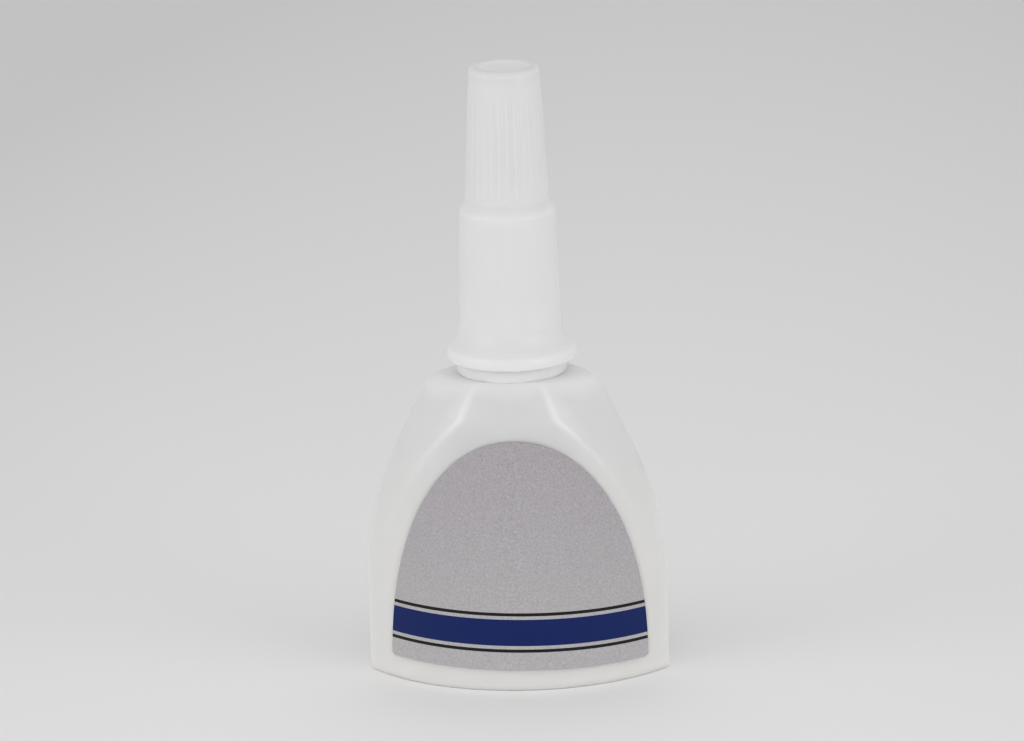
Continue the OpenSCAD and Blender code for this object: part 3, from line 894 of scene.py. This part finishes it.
def printedFilm():
    material, tree = newMaterial("printedFilm")
    place = addNode(tree, "ShaderNodeTexCoord", {}).outputs["Object"]
    sheet = addNode(tree, "ShaderNodeUVMap", {}, uv_map="flatSheet").outputs["UV"]
    up = addNode(tree, "ShaderNodeSeparateXYZ", {"Vector": sheet}).outputs["Y"]
    grain = addNode(tree, "ShaderNodeTexNoise", {
        "Vector": place, "Scale": perMm(0.25), "Detail": 1}).outputs["Fac"]
    grey = {}
    for name in ("foot", "top"):
        low, high = labelPrint[name]
        grey[name] = addNode(tree, "ShaderNodeMix", {
            0: grain, 6: linear(low), 7: linear(high)}, data_type="RGBA").outputs[2]
    # Painted light, lighter towards the foot
    tone = addNode(tree, "ShaderNodeMix", {
        0: up, 6: grey["foot"], 7: grey["top"]}, data_type="RGBA").outputs[2]
    for middle, half, ink in labelPrint["bars"]:
        bar = addNode(tree, "ShaderNodeMath", {0: up, 1: middle, 2: half}, operation="COMPARE").outputs[0]
        tone = addNode(tree, "ShaderNodeMix", {0: bar, 6: tone, 7: linear(ink)}, data_type="RGBA").outputs[2]
    rough = addNode(tree, "ShaderNodeMapRange", {"Value": grain, "To Min": 0.42, "To Max": 0.55})
    bump = addNode(tree, "ShaderNodeBump", {"Height": grain, "Strength": 0.1, "Distance": 0.01 * mm})
    shader = addNode(tree, "ShaderNodeBsdfPrincipled", {
        "Base Color": tone,
        "Roughness": rough.outputs["Result"],
        "IOR": 1.5,
        "Specular IOR Level": 0.12,
        "Normal": bump.outputs["Normal"],
    })
    addNode(tree, "ShaderNodeOutputMaterial", {"Surface": shader.outputs["BSDF"]})
    return material


# Seamless paper: pale grey, painted darker towards the back and the far corners as painted shade, with the
# faintest fibre
paper = {
    "near": "FCFBFB",
    "far": "DCDCDD",
    "farRange": (-150, 600),  # from in front of the bottle to far behind it
    "cornerBend": 70,  # the shade comes forward by the distance aside, squared, over this
}


def seamlessPaper():
    material, tree = newMaterial("seamlessPaper")
    place = addNode(tree, "ShaderNodeTexCoord", {}).outputs["Object"]
    spread = addNode(tree, "ShaderNodeSeparateXYZ", {"Vector": place}).outputs
    square = addNode(tree, "ShaderNodeMath", {
        0: spread["X"], 1: spread["X"]}, operation="MULTIPLY").outputs[0]
    back = addNode(tree, "ShaderNodeMath", {
        0: square, 1: perMm(paper["cornerBend"]), 2: spread["Y"]}, operation="MULTIPLY_ADD").outputs[0]
    low, high = paper["farRange"]
    far = addNode(tree, "ShaderNodeMapRange", {
        "Value": back, "From Min": low * mm, "From Max": high * mm}).outputs["Result"]
    fibre = addNode(tree, "ShaderNodeTexNoise", {
        "Vector": place, "Scale": perMm(1.5), "Detail": 3}).outputs["Fac"]
    # Painted shade towards the back and the far corners
    tone = addNode(tree, "ShaderNodeMix", {
        0: far, 6: linear(paper["near"]), 7: linear(paper["far"])}, data_type="RGBA").outputs[2]
    rough = addNode(tree, "ShaderNodeMapRange", {"Value": fibre, "To Min": 0.8, "To Max": 0.9})
    shader = addNode(tree, "ShaderNodeBsdfPrincipled", {
        "Base Color": tone, "Roughness": rough.outputs["Result"]})
    addNode(tree, "ShaderNodeOutputMaterial", {"Surface": shader.outputs["BSDF"]})
    return material


film = printedFilm()
for piece, material in ((glueBottle, naturalPolyethylene()), (screwCap, milkyPolypropylene()),
                        (dropNozzle, nozzlePolyethylene()), (sealingPin, drawnStainless()),
                        (glueLiquid, clearGlue()), (frontLabel, film), (backLabel, film)):
    piece.data.materials.append(material)
print("materials made:", len(bpy.data.materials))


# Studio: a pale paper floor, broad soft boxes at both sides and in front, and an even surround
studio = {
    "floorSize": 6000,
    "surround": 0.68,
    "aimHeight": 40,
    "boxes": [  # position, side length, power in watts
        ((-1000, -620, 200), 900, 4.4),
        ((1000, -620, 200), 900, 4.4),
        ((0, -1300, 200), 900, 1.2),
    ],
}


def makeStudio():
    half = studio["floorSize"] / 2
    corners = np.array([(-half, -half, 0), (half, -half, 0), (half, half, 0), (-half, half, 0)], float)
    floor = meshPiece("paperFloor", corners, [[0, 1, 2, 3]])
    floor.data.materials.append(seamlessPaper())
    for number, (place, side, power) in enumerate(studio["boxes"]):
        data = bpy.data.lights.new(f"softBox{number}", "AREA")
        data.size = side * mm
        data.energy = power
        lamp = bpy.data.objects.new(data.name, data)
        lamp.location = Vector(place) * mm
        aim = Vector((0, 0, studio["aimHeight"])) * mm - lamp.location
        lamp.rotation_euler = aim.to_track_quat("-Z", "Y").to_euler()
        bpy.context.collection.objects.link(lamp)
    world = bpy.data.worlds.new("surround")
    world.use_nodes = True
    background = world.node_tree.nodes["Background"]
    background.inputs["Color"].default_value = (1, 1, 1, 1)
    background.inputs["Strength"].default_value = studio["surround"]
    bpy.context.scene.world = world
    bpy.context.scene.view_settings.view_transform = "Standard"


makeStudio()
print("studio made")
